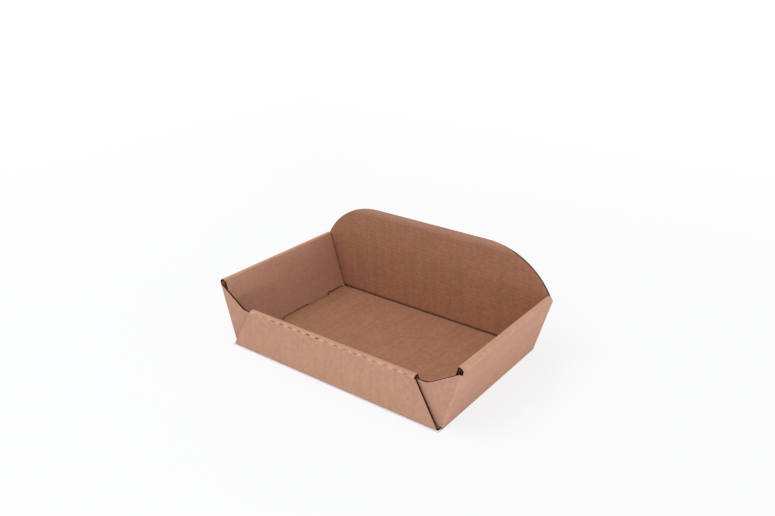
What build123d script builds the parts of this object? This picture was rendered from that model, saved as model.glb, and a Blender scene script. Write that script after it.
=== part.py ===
from build123d import *
from math import atan2, cos, floor, pi, radians, sin, sqrt, tan
import os

# A tray folded from one blank of fine-flute corrugated board. Millimetres, X to the right along
# the front, Y to the back, Z up, origin at the middle of the floor's underside.
# Every size of a wall is taken on the board's outer face, as the folded sheet shows it.

# The board
board = 1.4                 # caliper
ply_gap = 0.1               # air between two boards that lie on each other
fold_radius = 1.5           # outer radius of an ordinary fold
fold_land = 0.3             # flat board that a fold keeps on each side of its bend

# Floor
foot_half_width = 91.4      # middle to a side wall's outer face, at the bottom
floor_depth = 128.0         # front wall's outer face to the header's outer face
half_depth = floor_depth / 2

# Front wall. The insets are how much less wide it is than the tray's foot, on each side
front_height = 32.5         # up to the outer, perforated crease
front_foot_inset = 1.4      # outer panel at the floor
front_top_inset = 19.7      # outer panel and rim at the crease
front_inner_inset = 7.4     # inner panel at the floor
front_rim_run = 4.7         # depth of the rolled rim
front_rim_rise = 0.8        # height that the rim gains on its way inwards
front_inner_lean = 2.1      # the inner panel's foot stands this much behind its top
front_foot_half = foot_half_width - front_foot_inset
front_top_half = foot_half_width - front_top_inset
front_inner_foot_half = foot_half_width - front_inner_inset

# Side walls
side_height = 47.1          # up to the outer crease
side_spread = 13.5          # the crease stands out this far past the foot
side_rim_run = 4.6
side_rim_rise = 2.0
side_inner_inset = 3.8      # inner panel's foot, inwards from the outer panel's foot
side_crease_radius = 2.2    # the outer crease is a soft roll
rim_inner_radius = 1.6

side_front_inset = 3.0      # corner flap's outer face at the fold, behind the front wall's face
rim_front_inset = 3.8       # the rolled rim's open front end
inner_front_inset = 4.9     # front edge of the inner panel
side_back_inset = 1.0       # back edge of the outer panel at the foot, in front of the header's face
side_back_top_inset = 3.4   # and at the crease
rim_back_inset = 4.8        # the rolled rim's open back end, close to the header
inner_back_inset = 2.6      # back edge of the inner panel at the foot
side_front = half_depth - side_front_inset
rim_front = half_depth - rim_front_inset
inner_front = half_depth - inner_front_inset
side_back_foot = half_depth - side_back_inset
side_back_top = half_depth - side_back_top_inset
rim_back = half_depth - rim_back_inset
inner_back_foot = half_depth - inner_back_inset

# Corner flaps, hinged on the side walls and caught in the front wall
flap_lean = 2.0             # degrees that a flap leans into the front wall
flap_fold_drop = 3.7        # the fold ends this far below the side wall's crease
flap_dip_in = 11.1          # the top edge falls to this place, inwards from the fold's foot
flap_dip_drop = 2.3         # the top edge is lowest this far below the front wall's crease
flap_dip_radius = 9.0
flap_length = 33.5
flap_nose = 6.0             # corner cut off the flap's hidden end
flap_nose_radius = 3.0
flap_fold_top = side_height - flap_fold_drop
flap_dip_height = front_height - flap_dip_drop

# Header. Its heights are measured up along its face
header_lean = 3.0           # degrees that it leans in over the floor
header_height = 78.9
header_foot_inset = 2.1     # how much less wide it is than the tray's foot, on each side
header_flat_inset = 41.1    # and its straight top edge
header_corner_radius = 57.8
header_shoulder_drop = 0.6  # the arcs end this far below the side walls' crease
header_flap_start = 18.0    # lower end of the side flap's fold
header_flap_drop = 3.6      # its upper end, below the side walls' crease
header_flap_length = 34.0
header_flap_taper = 5.0     # the flap is this much narrower at each side of its end
header_foot_half = foot_half_width - header_foot_inset
header_flat_half = foot_half_width - header_flat_inset
header_shoulder = side_height - header_shoulder_drop
header_flap_end = side_height - header_flap_drop

# Tabs on the inner panels' feet, and their slots in the floor
tab_width = 25.2
tab_clearance = 0.3
slot_slack = 0.8            # a slot is this much wider on the side of the tray's middle
tab_recess = 0.1            # a tab ends this far above the floor's underside
side_tab_share = 0.425      # a tab's middle, as a share of the floor's half depth
front_tab_share = 0.394     # and of its half width
side_tab_place = side_tab_share * half_depth
front_tab_place = front_tab_share * foot_half_width

# Perforation along the front wall's outer crease
cut_pitch = 8.14
cut_length = 4.1
cut_gape = 0.7              # width to which the fold has opened a cut
cut_overrun = 0.4
cut_count = floor(2 * front_top_half / cut_pitch)


def heading(start, end):
    """Angle of the way from one point of a section to another."""
    return atan2(end[1] - start[1], end[0] - start[0])


def toward(start, end, distance):
    """The point at a distance along the way from start to end."""
    angle = heading(start, end)
    return (start[0] + distance * cos(angle), start[1] + distance * sin(angle))


def setback(radius, before, corner, after):
    """Length that a fold takes from each panel, from the corner of the outer faces."""
    turn = abs(heading(corner, after) - heading(before, corner)) % (2 * pi)
    turn = min(turn, 2 * pi - turn)
    return radius * tan(turn / 2) + fold_land


def fold_reach(first, second):
    """The same length, from the directions in which the two panels lead away."""
    return fold_radius / tan(radians(first.get_angle(second)) / 2) + fold_land


def bent_board(*points, radii, side):
    """Section of a board whose outer face runs through these points."""
    with BuildLine() as section:
        FilletPolyline(*points, radius=radii)
        offset(amount=board, side=side, closed=True)
    make_face(section.edges())


# Side wall's section in X and Z
side_foot = (foot_half_width, 0)
side_crest = (foot_half_width + side_spread, side_height)
side_inner_crest = (side_crest[0] - side_rim_run, side_height + side_rim_rise)
side_inner_foot = (foot_half_width - side_inner_inset, board)
side_slope = heading(side_foot, side_crest)
side_inner_slope = heading(side_inner_foot, side_inner_crest)
side_length = side_height / sin(side_slope)
side_inner_length = (side_height + side_rim_rise - board) / sin(side_inner_slope)

side_foot_set = setback(fold_radius, (0, 0), side_foot, side_crest)
side_crest_set = setback(side_crease_radius, side_foot, side_crest, side_inner_crest)
side_inner_set = setback(rim_inner_radius, side_crest, side_inner_crest, side_inner_foot)

# Front wall's section in Y and Z
front_foot = (-half_depth, 0)
front_crest = (-half_depth, front_height)
front_inner_crest = (front_rim_run - half_depth, front_height + front_rim_rise)
front_inner_foot = (front_inner_crest[0] + front_inner_lean, board)
front_inner_slope = heading(front_inner_foot, front_inner_crest)
front_inner_length = (front_height + front_rim_rise - board) / sin(front_inner_slope)

front_foot_set = setback(fold_radius, (0, 0), front_foot, front_crest)
front_crest_set = setback(fold_radius, front_foot, front_crest, front_inner_crest)
front_inner_set = setback(rim_inner_radius, front_crest, front_inner_crest, front_inner_foot)

# Planes of the panels: the board's outer face, its foot on the X axis of the sketch
up_side = Vector(cos(side_slope), 0, sin(side_slope))
out_side = Vector(sin(side_slope), 0, -cos(side_slope))
side_panel = Plane(origin=(foot_half_width, 0, 0), x_dir=(0, 1, 0), z_dir=out_side)
side_inner_panel = Plane(
    origin=(side_inner_foot[0], 0, board),
    x_dir=(0, 1, 0),
    z_dir=(sin(side_inner_slope), 0, -cos(side_inner_slope)),
)
front_inner_panel = Plane(
    origin=(0, front_inner_foot[0], board),
    x_dir=(1, 0, 0),
    z_dir=(0, -sin(front_inner_slope), cos(front_inner_slope)),
)
front_panel = Plane.XZ.offset(half_depth)
header_tilt = radians(header_lean)
header_panel = Plane(
    origin=(0, half_depth, 0), x_dir=(1, 0, 0), z_dir=(0, -cos(header_tilt), -sin(header_tilt)),
)
header_way = (half_depth - sin(header_tilt), cos(header_tilt))
header_foot_set = setback(fold_radius, (0, 0), (half_depth, 0), header_way)

# Corner flap: it turns at the side wall's front edge, a little less than square
backward = Vector(0, 1, 0)
flap_turn = radians(90 - flap_lean)
flap_inward = -backward * cos(flap_turn) - out_side * sin(flap_turn)
flap_normal = up_side.cross(flap_inward)
flap_hinge = Vector(foot_half_width, -side_front, 0)
flap_panel = Plane(origin=flap_hinge, x_dir=(-flap_normal.Y, flap_normal.X, 0), z_dir=flap_normal)
flap_set = fold_reach(backward, flap_inward)
flap_fold_foot = (board + ply_gap) / sin(side_slope)
flap_fold_end = flap_fold_top / sin(side_slope)

# Perforation: a plane across the crease, halfway between the two panels
rim_slope = heading(front_crest, front_inner_crest)
cut_depth = fold_radius / cos((radians(90) - rim_slope) / 2) - fold_radius + board + cut_overrun
cut_plane = Plane(
    origin=(0, -half_depth, front_height), x_dir=(1, 0, 0), z_dir=(0, -cos(rim_slope), 1 - sin(rim_slope)),
)

# Header's side flap: it lies on the inner face of the side wall's outer panel
header_hinge = Vector(foot_half_width - (board + ply_gap) / sin(side_slope), half_depth, 0)
header_fold = header_panel.z_dir.cross(out_side).normalized()
header_inward = header_panel.z_dir.cross(header_fold)
header_flap_forward = out_side.cross(header_fold)
header_flap_panel = side_panel.offset(-board - ply_gap)
header_set = fold_reach(header_inward, header_flap_forward)

# The header's arcs end this far from the middle
shoulder_rise = header_shoulder - header_height + header_corner_radius
shoulder_half = header_flat_half + sqrt(header_corner_radius**2 - shoulder_rise**2)


def beside_fold(panel, hinge, along, up, away):
    """Point of a panel, in its own axes: up along a fold's line and away from it."""
    place = panel.to_local_coords(hinge + along * up + panel.z_dir.cross(along) * away)
    return (place.X, place.Y)


def fold_between(across, first, second, reach):
    """Section of a fold, in a plane across its line, between two panels that lead away from it."""
    start, end = (across.to_local_coords(across.origin + way * reach) for way in (first, second))
    bent_board((start.X, start.Y), (0, 0), (end.X, end.Y), radii=fold_radius, side=Side.RIGHT)


def slot_place(slope):
    """Middle and width of the slot that takes a tab, outwards from its panel's foot."""
    near = -board / abs(tan(slope)) - tab_clearance - slot_slack
    far = board / sin(slope) + tab_clearance
    return (near + far) / 2, far - near


def inner_panel_outline(low, top, length, slope, inner_set, tabs):
    """Outline of an inner panel from its foot to its rolled rim, with tabs below its foot."""
    foot = (ply_gap + board * abs(cos(slope))) / sin(slope)
    tab_end = foot - (board + ply_gap - tab_recess) / sin(slope)
    with BuildLine() as panel:
        Polyline(
            (low[0], foot), (low[1], foot),
            (top[1], length - inner_set), (top[0], length - inner_set),
            close=True,
        )
    make_face(panel.edges())
    for place in tabs:
        with BuildLine() as tab:
            Polyline(
                (place - tab_width / 2, foot), (place - tab_width / 2 + board / 2, tab_end),
                (place + tab_width / 2 - board / 2, tab_end), (place + tab_width / 2, foot),
                close=True,
            )
        make_face(tab.edges())


with BuildPart() as folded_tray:
    # Floor, right half
    with BuildSketch():
        with BuildLine():
            Polyline(
                (0, -half_depth + front_foot_set),
                (front_foot_half, -half_depth + front_foot_set),
                (front_foot_half, -side_front + flap_set),
                (foot_half_width - side_foot_set, -side_front + flap_set),
                (foot_half_width - side_foot_set, half_depth - header_foot_set),
                (0, half_depth - header_foot_set),
                close=True,
            )
        make_face()
        slot_middle, slot_width = slot_place(side_inner_slope)
        with Locations(
            (side_inner_foot[0] + slot_middle, -side_tab_place),
            (side_inner_foot[0] + slot_middle, side_tab_place),
        ):
            Rectangle(slot_width, tab_width + 2 * tab_clearance, mode=Mode.SUBTRACT)
        slot_middle, slot_width = slot_place(front_inner_slope)
        with Locations((front_tab_place, front_inner_foot[0] - slot_middle)):
            Rectangle(tab_width + 2 * tab_clearance, slot_width, mode=Mode.SUBTRACT)
    extrude(amount=board)

    # Front wall: fold, outer panel with slanted ends, rolled rim
    with BuildSketch(Plane.YZ):
        bent_board(
            (-half_depth + front_foot_set, 0), front_foot, (-half_depth, front_height - front_crest_set),
            radii=fold_radius, side=Side.RIGHT,
        )
    extrude(amount=front_foot_half)
    with BuildSketch(front_panel):
        with BuildLine():
            Polyline(
                (front_foot_half, 0), (front_top_half, front_height), (front_foot_half, front_height),
                close=True,
            )
        make_face()
    extrude(amount=-board, mode=Mode.SUBTRACT)
    with BuildSketch(Plane.YZ):
        bent_board(
            toward(front_crest, front_foot, front_crest_set), front_crest, front_inner_crest,
            toward(front_inner_crest, front_inner_foot, front_inner_set),
            radii=[fold_radius, rim_inner_radius], side=Side.RIGHT,
        )
    extrude(amount=front_top_half)
    with BuildSketch(front_inner_panel):
        inner_panel_outline(
            (0, front_inner_foot_half), (0, front_top_half), front_inner_length, front_inner_slope,
            front_inner_set, [front_tab_place],
        )
    extrude(amount=board)

    # Side wall: fold, outer panel, rolled rim, inner panel
    with BuildSketch(Plane.XZ.offset(-side_back_foot)):
        bent_board(
            toward(side_foot, (0, 0), side_foot_set), side_foot, toward(side_foot, side_crest, side_foot_set),
            radii=fold_radius, side=Side.LEFT,
        )
    extrude(amount=side_back_foot + side_front - flap_set)
    with BuildSketch(side_panel):
        with BuildLine():
            Polyline(
                (-side_front + flap_set, side_foot_set), (side_back_foot, side_foot_set),
                (side_back_top, side_length - side_crest_set),
                (-rim_front, side_length - side_crest_set),
                (-rim_front, flap_fold_end), (-side_front + flap_set, flap_fold_end),
                close=True,
            )
        make_face()
    extrude(amount=-board)
    with BuildSketch(Plane.XZ.offset(-rim_back)):
        bent_board(
            toward(side_crest, side_foot, side_crest_set), side_crest, side_inner_crest,
            toward(side_inner_crest, side_inner_foot, side_inner_set),
            radii=[side_crease_radius, rim_inner_radius], side=Side.LEFT,
        )
    extrude(amount=rim_front + rim_back)
    with BuildSketch(side_inner_panel):
        inner_panel_outline(
            (-inner_front, inner_back_foot), (-inner_front, rim_back), side_inner_length,
            side_inner_slope, side_inner_set, [-side_tab_place, side_tab_place],
        )
    extrude(amount=board)

    # Corner flap: fold up the side wall's front edge, flap with its dipped top edge
    fold_plane = Plane(flap_hinge + up_side * flap_fold_foot, x_dir=out_side, z_dir=up_side)
    with BuildSketch(fold_plane):
        fold_between(fold_plane, backward, flap_inward, flap_set)
    extrude(amount=flap_fold_end - flap_fold_foot)
    flap_fold_low = beside_fold(flap_panel, flap_hinge, up_side, flap_fold_foot, flap_set)
    flap_fold_high = beside_fold(flap_panel, flap_hinge, up_side, flap_fold_end, flap_set)
    with BuildSketch(flap_panel):
        with BuildLine():
            FilletPolyline(
                flap_fold_high, (-flap_dip_in, flap_dip_height),
                (flap_nose - flap_length, flap_dip_height), (-flap_length, flap_dip_height - flap_nose),
                (-flap_length, board + ply_gap),
                radius=[flap_dip_radius, flap_nose_radius, flap_nose_radius],
            )
            Polyline((-flap_length, board + ply_gap), flap_fold_low, flap_fold_high)
        make_face()
    extrude(amount=-board)

    # Header: fold, single board with its arcs, side flap
    with BuildSketch(Plane.YZ):
        bent_board(
            (half_depth - header_foot_set, 0), (half_depth, 0),
            toward((half_depth, 0), header_way, header_foot_set),
            radii=fold_radius, side=Side.LEFT,
        )
    extrude(amount=header_foot_half)
    with BuildSketch(header_panel):
        with BuildLine():
            Polyline(
                (header_flat_half, header_height), (0, header_height), (0, header_foot_set),
                (header_foot_half, header_foot_set),
                beside_fold(header_panel, header_hinge, header_fold, header_flap_start, header_set),
                beside_fold(header_panel, header_hinge, header_fold, header_flap_end, header_set),
                (shoulder_half, header_shoulder),
            )
            RadiusArc(
                (shoulder_half, header_shoulder), (header_flat_half, header_height),
                -header_corner_radius,
            )
        make_face()
    extrude(amount=board)
    fold_plane = Plane(header_hinge + header_fold * header_flap_start, x_dir=out_side, z_dir=header_fold)
    with BuildSketch(fold_plane):
        fold_between(fold_plane, header_inward, header_flap_forward, header_set)
    extrude(amount=header_flap_end - header_flap_start)
    with BuildSketch(header_flap_panel):
        with BuildLine():
            Polyline(
                *(
                    beside_fold(header_flap_panel, header_hinge, header_fold, up, away)
                    for up, away in (
                        (header_flap_start, header_set),
                        (header_flap_start + header_flap_taper, header_flap_length),
                        (header_flap_end - header_flap_taper, header_flap_length),
                        (header_flap_end, header_set),
                    )
                ),
                close=True,
            )
        make_face()
    extrude(amount=-board)

    mirror(about=Plane.YZ)

    # Perforation of the front wall's outer crease
    with BuildSketch(cut_plane):
        with GridLocations(cut_pitch, 0, cut_count, 1):
            Rectangle(cut_length, cut_gape)
    extrude(amount=-cut_depth, mode=Mode.SUBTRACT)

folded_tray.part.label = "folded_tray"
os.makedirs("parts", exist_ok=True)
export_step(folded_tray.part, "parts/folded_tray.step")
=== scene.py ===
# %% [markdown]
# # A cardboard tray box
#
# The tray is one blank of fine-flute corrugated board: two paper liners with a wavy sheet, the
# medium, glued between them. The blank is cut, creased and folded up without glue. The CAD model
# holds its true form as one solid sheet. This script makes that sheet look like board. It reads the
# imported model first, because everything here is placed by it.

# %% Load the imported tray
import math
from collections import deque

import bmesh
import bpy
from mathutils import Matrix, Vector
from mathutils.bvhtree import BVHTree


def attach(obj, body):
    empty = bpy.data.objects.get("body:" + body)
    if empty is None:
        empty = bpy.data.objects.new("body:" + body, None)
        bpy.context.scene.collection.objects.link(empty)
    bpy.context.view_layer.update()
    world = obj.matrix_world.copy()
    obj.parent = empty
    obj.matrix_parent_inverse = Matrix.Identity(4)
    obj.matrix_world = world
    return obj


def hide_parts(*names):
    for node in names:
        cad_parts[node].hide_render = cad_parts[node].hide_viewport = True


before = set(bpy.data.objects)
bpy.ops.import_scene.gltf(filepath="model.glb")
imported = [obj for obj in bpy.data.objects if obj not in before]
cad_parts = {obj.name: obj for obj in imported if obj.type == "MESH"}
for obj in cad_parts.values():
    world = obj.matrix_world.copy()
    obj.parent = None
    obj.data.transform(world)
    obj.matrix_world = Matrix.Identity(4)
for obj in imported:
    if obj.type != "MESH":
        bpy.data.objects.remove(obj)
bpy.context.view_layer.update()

print("packed nodes:", sorted(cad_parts))

# %% [markdown]
# ## Sizes of the board
#
# Fine flute board is about 1.4 mm thick and has a wave every 3.25 mm. Its liners are stiff brown
# paper of about 0.17 mm, and the medium is a little thinner.

# %% Sizes, in metres
board = 0.0014
liner = 0.00017
medium = 0.00015
flute_pitch = 0.00325
pressed_in = 0.00001  # how far a crest of the medium sinks into its liner
flute_height = board / 2 - liner - medium / 2 + pressed_in
print(f"the medium waves by {2 * flute_height * 1000:.2f} mm in a board of {board * 1000:.1f} mm")

# %% [markdown]
# ## Find the two liners in the solid
#
# In a folded sheet each liner stays in one piece: it runs over every bend, and it ends only at a cut
# edge, where the surface turns by a right angle. So a walk over the surface that starts under the
# floor and never crosses a sharp edge finds the outer liner, and one that starts on top of the floor
# finds the inner liner. What is left are the cut edges. A copy of the mesh is merged first, because
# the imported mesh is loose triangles.

# %% Walk over each liner
same_place = 1e-6  # corners that are nearer than this are one
cut_turn = math.radians(45)
same_way = 0.99  # two ways whose dot product is more than this are taken as one
level_gap = 1e-4  # a face that is nearer to a height than this lies at it
sheet = bmesh.new()
sheet.from_mesh(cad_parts["folded_tray"].data)
bmesh.ops.remove_doubles(sheet, verts=sheet.verts, dist=same_place)
sheet.normal_update()


def floor_panel(height, up):
    """The largest face of the floor at a height, looking up or down."""
    level = [
        face for face in sheet.faces
        if face.normal.z * up > same_way and abs(face.calc_center_median().z - height) < level_gap
    ]
    return max(level, key=lambda face: face.calc_area())


def walk_liner(start):
    """Every face that is reached from a face without crossing a cut edge."""
    found, waiting = {start}, deque([start])
    while waiting:
        for edge in waiting.popleft().edges:
            if edge.calc_face_angle() < cut_turn:
                for face in edge.link_faces:
                    if face not in found:
                        found.add(face)
                        waiting.append(face)
    return found


under, top = floor_panel(0, -1), floor_panel(board, 1)
outer_liner, inner_liner = walk_liner(under), walk_liner(top)
OUTER, INNER, CUT, HOLLOW = range(4)
for face in sheet.faces:
    face.material_index = OUTER if face in outer_liner else INNER if face in inner_liner else CUT


def of_kind(*kinds):
    """The faces of some kinds, in the mesh's own order."""
    return [face for face in sheet.faces if face.material_index in kinds]


counts = [len(of_kind(kind)) for kind in (OUTER, INNER, CUT)]
print("faces of the outer liner, inner liner and cut edges:", *counts)

# %% [markdown]
# ## Unroll the board back to its flat blank
#
# The flutes are straight lines on the flat blank, along the tray's width. To know where a flute is on
# a folded wall, the sheet is unrolled: each triangle is laid flat beside the one before it, along the
# edge that they share. The result is kept as the UV map named blank, in metres. Every pattern of the
# paper reads it, so a pattern runs over the folds as it does on the real board.

# %% Lay each triangle beside its neighbour


def beyond(face, edge):
    """The corner of a triangle that isn't on an edge."""
    return next(corner for corner in face.verts if corner not in edge.verts)


def unroll(liner_faces, start):
    """The place of each triangle's corners on the flat blank."""
    flat = {start: {corner: corner.co.xy.copy() for corner in start.verts}}
    waiting = deque([start])
    while waiting:
        face = waiting.popleft()
        for edge in face.edges:
            for other in edge.link_faces:
                if other in flat or other not in liner_faces:
                    continue
                first, second = edge.verts
                a, b = flat[face][first], flat[face][second]
                fold_way = (second.co - first.co).normalized()
                reach = beyond(other, edge).co - first.co
                along = reach.dot(fold_way)
                away = (reach - fold_way * along).length
                way = (b - a).normalized()
                across = Vector((-way.y, way.x))
                if (flat[face][beyond(face, edge)] - a).dot(across) > 0:
                    across = -across
                flat[other] = {first: a, second: b, beyond(other, edge): a + way * along + across * away}
                waiting.append(other)
    return flat


outer_flat, inner_flat = unroll(outer_liner, under), unroll(inner_liner, top)
blank_places = [place for corners in outer_flat.values() for place in corners.values()]
for axis, name in ((0, "wide"), (1, "deep")):
    size = max(place[axis] for place in blank_places) - min(place[axis] for place in blank_places)
    print(f"the flat blank is {size * 1000:.0f} mm {name}")

# %% Keep it as a UV map
blank = sheet.loops.layers.uv.new("blank")
for flat in (inner_flat, outer_flat):
    for face, corners in flat.items():
        for loop in face.loops:
            loop[blank].uv = corners[loop.vert]


def blank_place():
    """Where each corner of the liners lies on the flat blank."""
    return {loop.vert: loop[blank].uv.copy() for face in of_kind(OUTER, INNER) for loop in face.loops}


place_of = blank_place()
for face in of_kind(CUT):
    for loop in face.loops:
        loop[blank].uv = place_of[loop.vert]
print("corners with a place on the blank:", len(place_of))

# %% [markdown]
# ## Press the header's crease
#
# The header stands up from a crease that was rolled into the board, so its inner liner is squeezed
# into a groove along the fold. In the photograph that is the dark line behind the floor. Rows of
# corners are cut into the flat faces beside the fold, and then they are pushed into the board. The
# header also gets a faint second line a little higher up, like one that a creasing wheel's edge leaves.

# %% Sizes of the crease, in metres
fold_depth = 0.0011
groove_width = 0.0016
fold_spread = 0.0003
in_plane, plane_gap = 0.9999, 2e-5  # a face this parallel and this near lies in a panel's plane

# Each mark is a row's distance from the fold, and how deep the row is pushed in
header_marks = ((0.0014, 0), (0.0012, 0.0009), (0.0024, 0), (0.0027, 0.00015), (0.0030, 0))
floor_marks = ((0.0011, 0), (0.0009, 0.0009))
print("rows of corners beside the fold:", len(header_marks) + len(floor_marks))

# %% Rows beside the fold
sideways = Vector((1, 0, 0))
nearly = 0.9


def cut_row(faces, spot, way):
    """A row of corners where a plane crosses some faces."""
    edges = dict.fromkeys(edge for face in faces for edge in face.edges)
    corners = dict.fromkeys(corner for face in faces for corner in face.verts)
    made = bmesh.ops.bisect_plane(
        sheet, geom=[*faces, *edges, *corners], dist=same_place / 10, plane_co=spot, plane_no=way,
    )["geom_cut"]
    return [corner for corner in made if isinstance(corner, bmesh.types.BMVert)]


def level_with(panel):
    """The inner liner's faces that lie in a panel's plane."""
    spot = panel.verts[0].co
    return [
        face for face in of_kind(INNER)
        if face.normal.dot(panel.normal) > in_plane
        and abs((face.verts[0].co - spot).dot(panel.normal)) < plane_gap
    ]


def off_fold(corner):
    """How far a corner is from the header's fold."""
    return (corner.co - header_foot).cross(sideways).length


facing_front = [face for face in of_kind(INNER) if face.normal.y < -nearly]
header = max(facing_front, key=lambda face: face.calc_area())
header_up = header.normal.cross(sideways)
header_foot = header.verts[0].co + header_up * ((board - header.verts[0].co.z) / header_up.z)
fold_in = -(header.normal + top.normal).normalized()
along_fold = [
    corner for corner in dict.fromkeys(corner for face in of_kind(INNER) for corner in face.verts)
    if off_fold(corner) < fold_spread
]
rows = []
for panel, away, marks in ((header, header_up, header_marks), (top, Vector((0, -1, 0)), floor_marks)):
    into = -panel.normal
    for distance, depth in marks:
        rows.append((cut_row(level_with(panel), header_foot + away * distance, away), into * depth))
for corners, push in rows:
    for corner in corners:
        corner.co += push
for corner in along_fold:
    corner.co += fold_in * fold_depth
sheet.normal_update()
crease = [
    face for face in of_kind(INNER)
    if all(off_fold(corner) < groove_width for corner in face.verts)
    and all(face.normal.dot(panel.normal) < same_way for panel in (header, top))
]
print("corners along the header's fold:", len(along_fold))
print("corners in the rows beside it:", [len(row) for row, _ in rows])
print("faces of the crease:", len(crease))

# %% [markdown]
# ## Lift the inner panels' feet
#
# Only the tabs of the side walls reach into the floor. Between them the panels stand a little clear of
# it, and more so towards the header. In the photograph that is a dark line on both sides of a tab.

# %% Where the feet are, in metres, and how far they are lifted
foot_inside, foot_outside = 0.0870, 0.0892
foot_low, foot_high = board + 0.00005, board + 0.0005
foot_end = 0.0615
lean_share = 0.28

# The lift is the lowest of three lines: one that rises towards the header, a level one, and a steep one
# that falls just before the header. The first and the last start from their height in the tray's middle
rise_start, rise_share = 0.0004, 0.012
most_lift = 0.0009
fall_start, fall_share = 0.0125, 0.19


def foot_lift(place):
    """How far a foot is lifted at a place along the tray's depth."""
    return max(0.0, min(rise_start + rise_share * place, most_lift, fall_start - fall_share * place))


# %% Lift the feet
feet = [
    corner for corner in sheet.verts
    if foot_inside < abs(corner.co.x) < foot_outside and foot_low < corner.co.z < foot_high
    and abs(corner.co.y) < foot_end
]
for corner in feet:
    lift = foot_lift(corner.co.y)
    corner.co += Vector((math.copysign(lean_share * lift, corner.co.x), 0, lift))
sheet.normal_update()
print("corners of the inner panels' feet:", len(feet))

# %% [markdown]
# ## Close the perforation
#
# A perforation is cut by a toothed knife, so a cut has no width of its own. The fold opens it at the
# outside, into the shape of a lens, and leaves it shut at the inside. The CAD model has straight slots
# there. Their long edges get corners in between, and these move towards the middle of the cut. How far
# each cut has opened differs, as it does on the real fold.

# %% Groups of cut faces
largest_cut = 40e-6  # square metres of faces: a cut of the perforation has fewer, any other cut more


def connected(faces):
    """Groups of faces that share edges."""
    left = dict.fromkeys(faces)
    while left:
        waiting = [next(iter(left))]
        del left[waiting[0]]
        group = []
        while waiting:
            face = waiting.pop()
            group.append(face)
            for edge in face.edges:
                for other in edge.link_faces:
                    if other in left:
                        del left[other]
                        waiting.append(other)
        yield group


def is_perforation(group):
    """Whether a group of cut faces is one cut of the perforation."""
    return sum(face.calc_area() for face in group) < largest_cut


perforation = [group for group in connected(of_kind(CUT)) if is_perforation(group)]
perforation.sort(key=lambda group: group[0].verts[0].co.x)
print("cuts of the perforation:", len(perforation))

# %% Draw each cut to a lens, from left to right
opened_share = (
    0.30, 0.45, 0.65, 0.75, 0.70, 0.75, 0.95, 1.00, 0.50, 0.55, 0.50, 0.55, 0.45, 0.45, 0.50, 0.40, 0.45,
)
inside_share = 0.1
end_share = 0.08
corners_between = 3
for group, share in zip(perforation, opened_share):
    across = max(group, key=lambda face: face.calc_area()).normal.copy()
    corners = dict.fromkeys(corner for face in group for corner in face.verts)
    spot = sum((corner.co for corner in corners), Vector()) / len(corners)
    low, high = min(c.co.x for c in corners), max(c.co.x for c in corners)
    sides = [corner.co.dot(across) for corner in corners]
    middle = (min(sides) + max(sides)) / 2
    long_edges = [
        edge for edge in dict.fromkeys(edge for face in group for edge in face.edges)
        if abs(edge.verts[0].co.x - edge.verts[1].co.x) > nearly * (high - low)
        and abs((edge.verts[0].co - edge.verts[1].co).dot(across)) < same_place
        and {face.material_index for face in edge.link_faces} != {CUT}
    ]
    bmesh.ops.subdivide_edges(sheet, edges=long_edges, cuts=corners_between)
    corners = [
        corner for corner in sheet.verts
        if low - same_place < corner.co.x < high + same_place and (corner.co - spot).length < high - low
        and any(face.material_index == CUT for face in corner.link_faces)
    ]
    for corner in corners:
        inside = any(face.material_index == INNER for face in corner.link_faces)
        along_cut = (2 * corner.co.x - low - high) / (high - low)
        lens = max(end_share, 1 - along_cut ** 2) * (inside_share if inside else share)
        corner.co += across * (corner.co.dot(across) - middle) * (lens - 1)
sheet.normal_update()
print("they are open by", min(opened_share), "to", max(opened_share), "of the CAD model's slots")

# %% [markdown]
# ## Open the cut edges
#
# Along a die-cut edge one looks between the liners at the flutes. Each cut face is replaced by a strip
# as thick as a liner along both of its sides, and by a hollow between them. The perforation is left as
# it is: its cuts are so short and narrow that no flute shows in them.

# %% Cut faces to open
place_of = blank_place()
header_end = max(place.y for place in place_of.values())
open_cuts = dict.fromkeys(
    face for group in connected(of_kind(CUT)) if not is_perforation(group) for face in group
)
print("cut faces that show flutes:", len(open_cuts), "of", len(of_kind(CUT)))

# %% [markdown]
# ## Where the medium shows
#
# Before the cut faces are sunk, the strip that the medium fills behind each of them is worked out.
# Each piece of open cut edge gives one patch, which reaches into the board. A patch keeps two things
# at every point: which way leads from liner to liner, and its place across the flutes. The wave itself
# is made from these by geometry nodes.

# %% How open the cut edge is
hollow_depth = 0.004  # where flutes are cut straight across
least_share, closed_share = 0.35, 0.1
along_flutes = 0.33  # a cut that crosses the flutes by less than this share lies along them
top_band = 0.004
sharp_limit = 0.6


def cut_edges(*skins):
    """Each edge between a liner and an opened cut, with its two faces."""
    for edge in sheet.edges:
        one, other = edge.link_faces
        for skin, cut in ((one, other), (other, one)):
            if skin.material_index in skins and cut in open_cuts:
                yield edge, skin, cut


def way_off(faces):
    """The way off a corner that leaves each of its faces equally far, but not far at a sharp corner."""
    turns = []
    for face in faces:
        if all(face.normal.dot(turn) < same_way for turn in turns):
            turns.append(face.normal)
    middle = sum(turns, Vector()).normalized()
    return -middle / max(min(middle.dot(turn) for turn in turns), sharp_limit)


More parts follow.
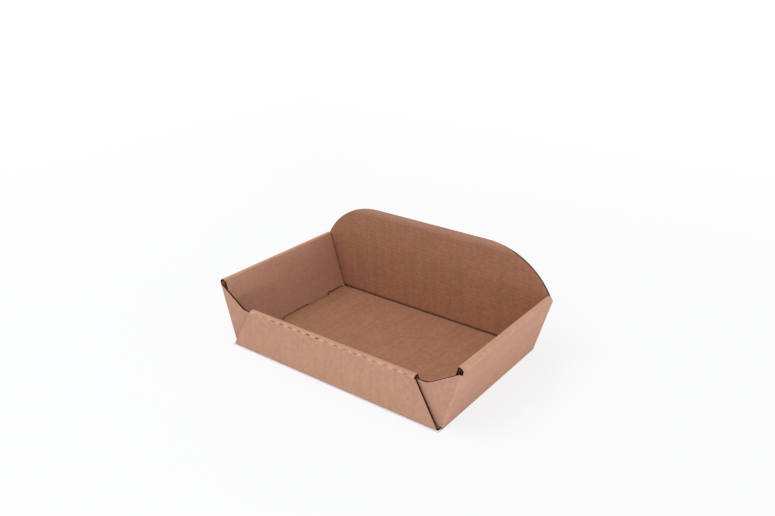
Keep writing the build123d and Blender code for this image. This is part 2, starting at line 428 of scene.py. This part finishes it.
# How far the board is open at each edge. A flute that is cut across leaves a deep hollow and one that
# lies along the cut a shallow one. The header's top edge is pale in the photograph, as it would be where
# a crest of the medium lies along the cut, so it is drawn closed
open_share, longest = {}, {}
cuts_at, skins_at = {}, {}
for edge, skin, cut in cut_edges(OUTER, INNER):
    places = [loop[blank].uv for loop in skin.loops if loop.vert in edge.verts]
    share = abs((places[1] - places[0]).normalized().y)
    at_top = min(place.y for place in places) > header_end - top_band
    closed = at_top and share < along_flutes
    open_share[edge] = closed_share if closed else least_share + (1 - least_share) * share
    for corner in edge.verts:
        cuts_at.setdefault(corner, []).append(cut)
        skins_at.setdefault(corner, []).append(skin)
        if corner not in longest or edge.calc_length() > longest[corner].calc_length():
            longest[corner] = edge


def is_closed(edges):
    """Whether the medium closes the cut here."""
    return all(open_share[edge] == closed_share for edge in edges if edge in open_share)


closed_count = sum(is_closed([edge]) for edge in open_share)
print("pieces of the cut edge:", len(open_share), "of which closed:", closed_count)

# %% The ways from the cut edge into the board
free_share = 0.45  # of the way to the board's next side, so that two hollows never meet
start_share = 0.01  # a ray starts just inside the board
downward = {corner: way_off(faces) for corner, faces in skins_at.items()}

# The way into the hollow is as long as the hollow is deep. It is shorter where the board is narrow, and
# where the cut runs along the flutes, because the next flute closes it there
board_sides = BVHTree.FromBMesh(sheet)
inward = {}
for corner, faces in cuts_at.items():
    way = way_off(faces) * hollow_depth * open_share[longest[corner]]
    starts = [corner.co + downward[corner] * depth + way * start_share for depth in (liner, board / 2)]
    free = min(board_sides.ray_cast(start, way)[3] or way.length for start in starts)
    inward[corner] = way * min(1.0, free_share * free / way.length)
depths = sorted(way.length * 1000 for way in inward.values())
print("corners along the cut edges:", len(inward))
print(f"the ways into their hollows are {depths[0]:.1f} to {depths[-1]:.1f} mm long")

# %% Patches of the medium
steps_in_wave = 8
wave_step = flute_pitch / steps_in_wave
medium_set_back = 0.45  # the medium starts at this share of the way into the hollow
crosses_flutes = 0.1
patch_points, patch_faces, patch_across, patch_down = [], [], [], []
for edge, skin, cut in cut_edges(OUTER):
    if is_closed([edge]):
        continue
    first, second = edge.verts
    if inward[first].cross(second.co - first.co).dot(downward[first]) < 0:
        first, second = second, first
    places = {loop.vert: loop[blank].uv for loop in skin.loops}
    way = (second.co - first.co).normalized()
    flat_way = (places[second] - places[first]).normalized()
    flat_in = Vector((-flat_way.y, flat_way.x))
    if sum((place - places[first]).dot(flat_in) for place in places.values()) < 0:
        flat_in = -flat_in
    corners = []
    for corner in (first, second):
        deep, down = inward[corner], downward[corner]
        side = deep.dot(way)
        straight = (deep - way * side - down * deep.dot(down) / down.length_squared).length
        across_in = (flat_way * side + flat_in * straight).y
        corners.append((corner.co, deep, down, places[corner].y, across_in))
    run = max(1, math.ceil(abs(corners[1][3] - corners[0][3]) / wave_step))
    reach = math.ceil(hollow_depth / wave_step) if abs(flat_in.y) > crosses_flutes else 1
    start = len(patch_points)
    for i in range(run + 1):
        share = i / run
        spot, deep, down, across, across_in = (
            one * (1 - share) + other * share for one, other in zip(*corners)
        )
        for j in range(reach + 1):
            back = medium_set_back + (1 - medium_set_back) * j / reach
            patch_points.append(spot + deep * back + down * board / 2)
            patch_across.append(across + across_in * back)
            patch_down.append(down)
    for i in range(run):
        for j in range(reach):
            a = start + i * (reach + 1) + j
            patch_faces.append((a, a + 1, a + reach + 2, a + reach + 1))
print("patches of medium:", len(patch_faces), "faces")

# %% Sink the cut faces between the liners
lip_corner, hollow_corner = {}, {}
for corner, way in inward.items():
    lip_corner[corner] = sheet.verts.new(corner.co + downward[corner] * liner)
    hollow_corner[corner] = sheet.verts.new(lip_corner[corner].co + way)
closed_cuts = []


def edge_face(corners, sources, kind, edges):
    """Makes a face of the opened edge. It takes its places on the blank from the corners that it came
    from, and is noted where the medium closes the cut."""
    made = sheet.faces.new(corners)
    for loop, source in zip(made.loops, sources):
        loop[blank].uv = place_of[source]
    made.material_index = kind
    if is_closed(edges):
        closed_cuts.append(made)


# The hollow's faces take the medium's paper, which is painted dark as the shade inside the board
for edge, skin, cut in list(cut_edges(OUTER, INNER)):
    loop = next(loop for loop in cut.loops if loop.edge == edge)
    a, b = loop.vert, loop.link_loop_next.vert
    lip = (a, b, lip_corner[b], lip_corner[a])
    hollow_side = (lip_corner[a], lip_corner[b], hollow_corner[b], hollow_corner[a])
    edge_face(lip, (a, b, b, a), CUT, [edge])
    edge_face(hollow_side, (a, b, b, a), HOLLOW, [edge])
for face in open_cuts:
    edge_face([hollow_corner[corner] for corner in face.verts], list(face.verts), HOLLOW, face.edges)
bmesh.ops.delete(sheet, geom=list(open_cuts), context="FACES")
print("faces of the liners' edges and of the hollow:", len(of_kind(CUT)), len(of_kind(HOLLOW)))

# %% Paint shade into the header's crease with the cut paper's darker colour
for face in crease:
    face.material_index = CUT

# %% [markdown]
# ## Mark the folds
#
# Kraft liner is stretched where it goes round a fold, and the flutes under it show as small ridges.
# The folds are drawn a little paler there, in spots. A fold is a band of narrow faces, so faces in one
# plane are grouped, and the narrow groups are the folds. The attribute named fold keeps 1 in the middle
# of a fold and falls to 0 at its sides. Its second number marks the perforated fold alone.

# %% Find the narrow faces
widest_fold = 0.0009
flat_enough = 0.99999  # dot product of the normals of two faces in one plane


def same_plane(face):
    """A face with those of its liner that lie in one plane with it."""
    found, waiting = {face}, [face]
    while waiting:
        for edge in waiting.pop().edges:
            for other in edge.link_faces:
                if other not in found and other.material_index == face.material_index:
                    if other.normal.dot(face.normal) > flat_enough:
                        found.add(other)
                        waiting.append(other)
    return found


sheet.normal_update()
folded = set()
seen = set()
for face in of_kind(OUTER, INNER):
    if face not in seen:
        group = same_plane(face)
        seen |= group
        length = max(edge.calc_length() for one in group for edge in one.edges)
        if sum(one.calc_area() for one in group) / length < widest_fold:
            folded |= group
print("faces of folds:", len(folded))

# %% Keep the marks and set the shading
perforated_front = -0.0615
perforated_low, perforated_high = 0.0305, 0.0335
fold = sheet.loops.layers.float_vector.new("fold")
for face in folded:
    face.smooth = True
    for loop in face.loops:
        around = [other for other in loop.vert.link_faces if other.material_index in (OUTER, INNER)]
        middle = float(all(other in folded for other in around))
        front = loop.vert.co.y < perforated_front and perforated_low < loop.vert.co.z < perforated_high
        loop[fold] = (middle, middle * front, 0)
for edge in sheet.edges:
    edge.smooth = edge.calc_face_angle(math.pi) < cut_turn

# Where the medium closes a cut one looks at paper
for face in closed_cuts:
    face.material_index = INNER
print("faces of closed cuts:", len(closed_cuts))

# %% [markdown]
# ## Nodes by one helper
#
# Geometry and shader trees are both built with the same small function. It adds a node, sets its
# settings, and fills or links its inputs. Most nodes are only read at their first output, so a second
# function gives just that.

# %% Add a node


def add_node(tree, kind, inputs=(), **settings):
    """Adds a node to a tree; an input is filled with a value or linked to an output."""
    node = tree.nodes.new(kind)
    for name, value in settings.items():
        setattr(node, name, value)
    for socket, value in dict(inputs).items():
        if isinstance(value, bpy.types.NodeSocket):
            tree.links.new(value, node.inputs[socket])
        else:
            node.inputs[socket].default_value = value
    return node


def step(tree, kind, inputs=(), **settings):
    """Adds a node and gives its first output, for the next node to read."""
    return add_node(tree, kind, inputs, **settings).outputs[0]


# %% [markdown]
# ## Paper colours
#
# Colours are written as sRGB hex values, as read from a picture, and shaders want linear light.

# %% Turn a hex colour to linear


def linear(hex_colour):
    """Linear RGBA of an sRGB hex value."""
    parts = [int(hex_colour[i:i + 2], 16) / 255 for i in (1, 3, 5)]
    return [c / 12.92 if c <= 0.04045 else ((c + 0.055) / 1.055) ** 2.4 for c in parts] + [1.0]


# %% [markdown]
# ## Kraft paper
#
# Unbleached kraft liner is pressed from long brown wood fibres. It is matt and faintly cloudy where
# the fibres lie thicker. The sheet ran through the paper machine across the flutes, so its fibres and
# its long soft streaks lie that way. The liner also sinks by up to a few hundredths of a millimetre
# between its glue lines on the flutes. That relief only shows where light grazes it, as on the header.
# One function makes each of the board's papers, with its grains in millimetres of the real paper.

# %% Kraft paper, pressed and uncoated
cut_pitch = 0.00814  # of the perforation
# A painted highlight along the header's top: the width of its band, where it is full, and its colour
highlight_band, highlight_edge = 0.010, 0.003
highlight_brown = "#dcb2a3"
fold_sink, fibre_height = 0.00002, 0.00004


def kraft_paper(name, colour, mottle, streak, flute_sink, top_highlight=0.0):
    """A paper of the board, with its pattern on the flat blank."""
    paper = bpy.data.materials.new(name)
    paper.use_nodes = True
    tree = paper.node_tree
    surface = tree.nodes["Principled BSDF"]
    flat = step(tree, "ShaderNodeUVMap", uv_map="blank")
    flat_sides = add_node(tree, "ShaderNodeSeparateXYZ", {0: flat}).outputs
    place = step(tree, "ShaderNodeVectorMath", {0: flat, 3: 1000.0}, operation="SCALE")
    sides = add_node(tree, "ShaderNodeSeparateXYZ", {0: place}).outputs

    def grains(size_x, size_y, detail, roughness):
        """Noise whose grains have this size on the blank, in millimetres."""
        spot = step(tree, "ShaderNodeMapping", {"Vector": place, "Scale": (1 / size_x, 1 / size_y, 1.0)})
        inputs = {"Vector": spot, "Scale": 1.0, "Detail": detail, "Roughness": roughness}
        return step(tree, "ShaderNodeTexNoise", inputs)

    def ripple(operation, side, pitch):
        """A sine or cosine along one side of the blank."""
        turn = 2 * math.pi / (pitch * 1000)
        angle = step(tree, "ShaderNodeMath", {0: side, 1: turn}, operation="MULTIPLY")
        return step(tree, "ShaderNodeMath", {0: angle}, operation=operation)

    # Clouds of 15 mm and flocks of 3.5 mm. Streaks are 4 mm wide and 60 mm long. Real fibres are 0.03 mm
    # thick and 2 mm long, too fine to show, so they are drawn as bundles of 0.8 by 4 mm
    clouds, flocks = grains(15, 15, 2.0, 0.5), grains(3.5, 3.5, 3.0, 0.6)
    streaks, fibres = grains(4, 60, 2.0, 0.6), grains(0.8, 4, 2.0, 0.6)
    total = 1.0
    layers = ((clouds, mottle * 0.4), (flocks, mottle), (fibres, mottle), (streaks, streak))
    for layer, strength in layers:
        layer = step(tree, "ShaderNodeMath", {0: layer, 1: 0.5}, operation="SUBTRACT")
        total = step(tree, "ShaderNodeMath", {0: layer, 1: strength, 2: total}, operation="MULTIPLY_ADD")

    # Folds are paler, in spots, and the lands between the perforation's cuts are palest
    marks = add_node(tree, "ShaderNodeAttribute", attribute_name="fold").outputs["Vector"]
    marks = add_node(tree, "ShaderNodeSeparateXYZ", {0: marks}).outputs
    wave = ripple("SINE", sides["Y"], flute_pitch)
    ridge = step(tree, "ShaderNodeMath", {0: wave, 1: 0.05, 2: 0.13}, operation="MULTIPLY_ADD")
    land = ripple("COSINE", sides["X"], cut_pitch)
    land = step(
        tree, "ShaderNodeMapRange", {"Value": land, "From Min": -0.3, "From Max": -1.0, "To Max": 0.3},
    )
    for mark, paler in ((marks["X"], ridge), (marks["Y"], land)):
        paler = step(tree, "ShaderNodeMath", {0: paler, 1: flocks}, operation="MULTIPLY")
        total = step(tree, "ShaderNodeMath", {0: mark, 1: paler, 2: total}, operation="MULTIPLY_ADD")
    tint = step(tree, "ShaderNodeVectorMath", {0: linear(colour)[:3], 3: total}, operation="SCALE")

    # A band along the header's top is painted paler, a painted highlight where the top catches more
    # light
    band = {"From Min": header_end - highlight_band, "From Max": header_end - highlight_edge, "To Max": top_highlight}
    highlighted = step(
        tree, "ShaderNodeMapRange", {"Value": flat_sides["Y"], **band}, interpolation_type="SMOOTHSTEP",
    )
    # Of the Mix node's many sockets, 6 and 7 take the two colours and output 2 gives the mixed one
    tint = add_node(
        tree, "ShaderNodeMix", {0: highlighted, 6: tint, 7: linear(highlight_brown)}, data_type="RGBA",
    ).outputs[2]
    tree.links.new(tint, surface.inputs["Base Color"])

    # Uncoated paper is matt, and its thicker flocks are the rougher ones
    matt = {"From Min": 0.3, "From Max": 0.7, "To Min": 0.8, "To Max": 0.95}
    rough = step(tree, "ShaderNodeMapRange", {"Value": flocks, **matt})
    tree.links.new(rough, surface.inputs["Roughness"])
    surface.inputs["IOR"].default_value = 1.5
    surface.inputs["Specular IOR Level"].default_value = 0.25

    # The liner sinks between the flutes, most of all at a fold, and its fibres stand up a little
    sink = step(
        tree, "ShaderNodeMath", {0: marks["X"], 1: fold_sink, 2: flute_sink}, operation="MULTIPLY_ADD",
    )
    sink = step(tree, "ShaderNodeMath", {0: wave, 1: sink}, operation="MULTIPLY")
    relief = step(
        tree, "ShaderNodeMath", {0: fibres, 1: fibre_height, 2: sink}, operation="MULTIPLY_ADD",
    )
    bump = step(tree, "ShaderNodeBump", {"Height": relief, "Distance": 1.0, "Strength": 1.0})
    tree.links.new(bump, surface.inputs["Normal"])
    return paper


# %% The board's papers

# The inner liner is the browner and cloudier one, and it alone gets the painted highlight along the
# header's top. Cut paper is darker than a liner: partly its own rough edge, partly painted shade for the
# gaps at cut edges and for the header's crease. The medium is drawn far darker than it is, as painted
# shade, and it also colours the hollows behind the cut edges, so that the openings look as dark as deep
# shade
outer_kraft = kraft_paper("outer_kraft_liner", "#c3957d", mottle=0.30, streak=0.20, flute_sink=0.000006)
inner_kraft = kraft_paper(
    "inner_kraft_liner", "#a9795e", mottle=0.45, streak=0.32, flute_sink=0.000023, top_highlight=0.36,
)
cut_and_shade_kraft = kraft_paper("cut_edge_kraft_and_crease_shade", "#785744", mottle=0.3, streak=0.0, flute_sink=0.0)
medium_painted_shade = kraft_paper("fluted_medium_painted_shade", "#332118", mottle=0.3, streak=0.0, flute_sink=0.0)
papers = (outer_kraft, inner_kraft, cut_and_shade_kraft, medium_painted_shade)
print("papers:", [paper.name for paper in papers])

# %% [markdown]
# ## The board as one piece
#
# The opened sheet becomes the tray's visible piece. Flat panels stay flat, bends are smooth, and cut
# edges are sharp. It takes the place of the CAD solid and stays within its outline.

# %% Make the folded board
board_mesh = bpy.data.meshes.new("folded_board")
sheet.to_mesh(board_mesh)
folded_board = bpy.data.objects.new("folded_board", board_mesh)
bpy.context.scene.collection.objects.link(folded_board)
for paper in papers:
    board_mesh.materials.append(paper)
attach(folded_board, "root")
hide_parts("folded_tray")
print("folded board:", len(board_mesh.polygons), "faces")

# %% [markdown]
# ## The fluted medium
#
# The medium is the wavy sheet between the liners. Its shape follows one rule, a sine across the
# flutes, so geometry nodes make it: each point of the flat patches moves down or up in the board by
# the wave at its place, and the sheet then gets its thickness. Its inputs are the real sizes. The
# result is kept as a plain mesh, and the patches are removed.

# %% Flat patches for the medium
patch_mesh = bpy.data.meshes.new("medium_patches")
patch_mesh.from_pydata([tuple(point) for point in patch_points], [], patch_faces)
across = patch_mesh.attributes.new("across", "FLOAT", "POINT")
across.data.foreach_set("value", patch_across)
down = patch_mesh.attributes.new("down", "FLOAT_VECTOR", "POINT")
down.data.foreach_set("vector", [value for way in patch_down for value in way])
patches = bpy.data.objects.new("medium_patches", patch_mesh)
bpy.context.scene.collection.objects.link(patches)
print("points of the patches:", len(patch_points))

# %% The rule of the wave
flute_tree = bpy.data.node_groups.new("fluted_medium", "GeometryNodeTree")
flute_tree.interface.new_socket("Geometry", in_out="INPUT", socket_type="NodeSocketGeometry")
flute_sizes = {"Flute pitch": flute_pitch, "Flute height": flute_height, "Paper": medium}
for name in flute_sizes:
    flute_tree.interface.new_socket(name, in_out="INPUT", socket_type="NodeSocketFloat")
flute_tree.interface.new_socket("Geometry", in_out="OUTPUT", socket_type="NodeSocketGeometry")
given = add_node(flute_tree, "NodeGroupInput").outputs

# How far each point moves: a sine of its place across the flutes, less half the paper
across = step(flute_tree, "GeometryNodeInputNamedAttribute", {"Name": "across"}, data_type="FLOAT")
down = step(flute_tree, "GeometryNodeInputNamedAttribute", {"Name": "down"}, data_type="FLOAT_VECTOR")
turns = step(flute_tree, "ShaderNodeMath", {0: across, 1: given["Flute pitch"]}, operation="DIVIDE")
angle = step(flute_tree, "ShaderNodeMath", {0: turns, 1: 2 * math.pi}, operation="MULTIPLY")
wave = step(flute_tree, "ShaderNodeMath", {0: angle}, operation="SINE")
height = step(flute_tree, "ShaderNodeMath", {0: wave, 1: given["Flute height"]}, operation="MULTIPLY")
height = step(
    flute_tree, "ShaderNodeMath", {0: given["Paper"], 1: -0.5, 2: height}, operation="MULTIPLY_ADD",
)
to_wave = step(flute_tree, "ShaderNodeVectorMath", {0: down, 3: height}, operation="SCALE")
through = step(flute_tree, "ShaderNodeVectorMath", {0: down, 3: given["Paper"]}, operation="SCALE")

# The waved sheet is one side of the paper and its raised copy the other
patch = {"Geometry": given["Geometry"], "Distance": same_place}
joined = step(flute_tree, "GeometryNodeMergeByDistance", patch)
waved = step(flute_tree, "GeometryNodeSetPosition", {"Geometry": joined, "Offset": to_wave})
thick = {"Mesh": waved, "Offset": through, "Individual": False}
raised = step(flute_tree, "GeometryNodeExtrudeMesh", thick, mode="FACES")
turned = step(flute_tree, "GeometryNodeFlipFaces", {"Mesh": waved})
both = add_node(flute_tree, "GeometryNodeJoinGeometry")
flute_tree.links.new(raised, both.inputs[0])
flute_tree.links.new(turned, both.inputs[0])
shell = {"Geometry": both.outputs[0], "Distance": same_place}
closed = step(flute_tree, "GeometryNodeMergeByDistance", shell)
papered = step(flute_tree, "GeometryNodeSetMaterial", {"Geometry": closed, "Material": medium_painted_shade})
real = step(flute_tree, "GeometryNodeRealizeInstances", {"Geometry": papered})
add_node(flute_tree, "NodeGroupOutput", {"Geometry": real})
print("nodes of the flute tree:", len(flute_tree.nodes))

# %% Run it and keep a plain mesh
flutes = patches.modifiers.new("fluted_medium", "NODES")
flutes.node_group = flute_tree
for item in flute_tree.interface.items_tree:
    if item.in_out == "INPUT" and item.name in flute_sizes:
        flutes[item.identifier] = flute_sizes[item.name]
bpy.context.view_layer.update()
shown = patches.evaluated_get(bpy.context.evaluated_depsgraph_get())
medium_mesh = bpy.data.meshes.new_from_object(shown)
bpy.data.objects.remove(patches)
fluted_medium = bpy.data.objects.new("fluted_medium", medium_mesh)
bpy.context.scene.collection.objects.link(fluted_medium)
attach(fluted_medium, "root")
print("fluted medium:", len(medium_mesh.polygons), "faces")

# %% [markdown]
# ## Camera
#
# The camera stands where the photographer's did. Its place, turn and lens come from matching the
# tray's corners, with the picture 775 by 516 pixels.

# %% Camera
lens_pixels, picture_width = 775.618, 775
camera_place = (0.300466, -0.403382, 0.289667)
right = Vector((0.803643, 0.595070, 0.006962))
upward = Vector((-0.242066, 0.316179, 0.917298))
camera_data = bpy.data.cameras.new("camera")
camera_data.sensor_width = 36
camera_data.lens = lens_pixels / picture_width * camera_data.sensor_width
camera_data.clip_start = 0.01
camera = bpy.data.objects.new("camera", camera_data)
camera_turn = Matrix((right, upward, right.cross(upward))).transposed().to_4x4()
camera.matrix_world = Matrix.Translation(camera_place) @ camera_turn
bpy.context.scene.collection.objects.link(camera)
bpy.context.scene.camera = camera
print(f"the camera has a lens of {camera_data.lens:.1f} mm")

# %% [markdown]
# ## Studio
#
# The tray stands on a white table in even white light, so its shadows are faint. A white that is only
# lit would turn grey where the light falls off, so most of the table's white is a glow that the camera
# sees and that throws no light on the tray. The world is white for the camera too, and its light is a
# little weaker than that.

# %% What the camera sees


def seen_by_camera(tree):
    """1 for what the camera sees, also in a gloss or through glass, and 0 for the light on the tray."""
    path = add_node(tree, "ShaderNodeLightPath").outputs
    seen = path["Is Camera Ray"]
    for other in ("Is Glossy Ray", "Is Transmission Ray"):
        seen = step(tree, "ShaderNodeMath", {0: seen, 1: path[other]}, operation="MAXIMUM")
    return seen


# %% White table
footprint = (0.0914, 0.0651, 0)  # half the tray's, with the thin dark line where it meets the table
near_share, near, far = 0.8, 0.1, 0.6
white = bpy.data.materials.new("white_table")
white.use_nodes = True
tree = white.node_tree
surface = tree.nodes["Principled BSDF"]
surface.inputs["Base Color"].default_value = linear("#eff2f8")
surface.inputs["Roughness"].default_value = 0.9
surface.inputs["Specular IOR Level"].default_value = 0.0

# The camera sees four fifths of the table as plain white, and farther off all of it, as in the
# photograph. Under the tray there is none of that white, or it would shine up through the tabs' slots
glow = step(tree, "ShaderNodeEmission", {"Strength": 1.0})
spot = add_node(tree, "ShaderNodeTexCoord").outputs["Object"]
spot = step(tree, "ShaderNodeVectorMath", {0: spot}, operation="ABSOLUTE")
past = step(tree, "ShaderNodeVectorMath", {0: spot, 1: footprint}, operation="SUBTRACT")
past = add_node(tree, "ShaderNodeSeparateXYZ", {0: past}).outputs
past = step(tree, "ShaderNodeMath", {0: past["X"], 1: past["Y"]}, operation="MAXIMUM")
beside = step(tree, "ShaderNodeMath", {0: past, 1: 0.0}, operation="GREATER_THAN")
rising = {"From Min": near, "From Max": far, "To Min": near_share, "To Max": 1.0}
share = step(tree, "ShaderNodeMapRange", {"Value": past, **rising})
for other in (share, seen_by_camera(tree)):
    beside = step(tree, "ShaderNodeMath", {0: beside, 1: other}, operation="MULTIPLY")
paler = step(tree, "ShaderNodeMixShader", {0: beside, 1: surface.outputs[0], 2: glow})
tree.links.new(paler, tree.nodes["Material Output"].inputs["Surface"])
print("the table glows by", near_share, "beside the tray, and fully from", far, "m off")

# %% The table's sheet
table_reach = 6.0
below_tray = 0.00005
sides = (-table_reach, table_reach)
table_mesh = bpy.data.meshes.new("white_table")
table_mesh.from_pydata([(x, y, 0) for x in sides for y in sides], [], [(0, 2, 3, 1)])
table_mesh.materials.append(white)
white_table = bpy.data.objects.new("white_table", table_mesh)
white_table.location.z = -below_tray
bpy.context.scene.collection.objects.link(white_table)
print("the table is", 2 * table_reach, "m wide")

# %% White world
world = bpy.data.worlds.new("studio")
bpy.context.scene.world = world
world.use_nodes = True
tree = world.node_tree
tree.nodes.clear()
soft = step(tree, "ShaderNodeBackground", {"Color": linear("#ffffff"), "Strength": 0.65})
plain = step(tree, "ShaderNodeBackground", {"Color": linear("#ffffff"), "Strength": 1.0})
mixed = step(tree, "ShaderNodeMixShader", {0: seen_by_camera(tree), 1: soft, 2: plain})
add_node(tree, "ShaderNodeOutputWorld", {"Surface": mixed})
print("nodes of the world:", len(tree.nodes))

# %% [markdown]
# ## Lamps
#
# Three large lamps stand for a photographer's soft boxes: one overhead on the left, one in front, and a
# low one on the right, which lights the wall on that side. Large lamps are used because small ones would
# draw sharp shadows, and the photograph has none.

# %% Soft lamps
tray_middle = (0, 0, 0.03)


def soft_lamp(name, spot, width, height, power):
    """A flat lamp that looks at the middle of the tray."""
    lamp_data = bpy.data.lights.new(name, "AREA")
    lamp_data.shape = "RECTANGLE"
    lamp_data.size, lamp_data.size_y = width, height
    lamp_data.energy = power
    lamp = bpy.data.objects.new(name, lamp_data)
    lamp.location = spot
    lamp.rotation_euler = (Vector(tray_middle) - Vector(spot)).to_track_quat("-Z", "Y").to_euler()
    bpy.context.scene.collection.objects.link(lamp)
    print(name, "of", power, "watts")


soft_lamp("overhead_lamp", (-0.5, -0.6, 1.5), width=1.0, height=1.0, power=10)
soft_lamp("front_lamp", (0, -1.5, 0.8), width=1.4, height=1.0, power=1.7)
soft_lamp("low_side_lamp", (1.5, -0.15, 0.06), width=1.6, height=0.12, power=6.2)
bpy.context.scene.view_settings.view_transform = "Standard"
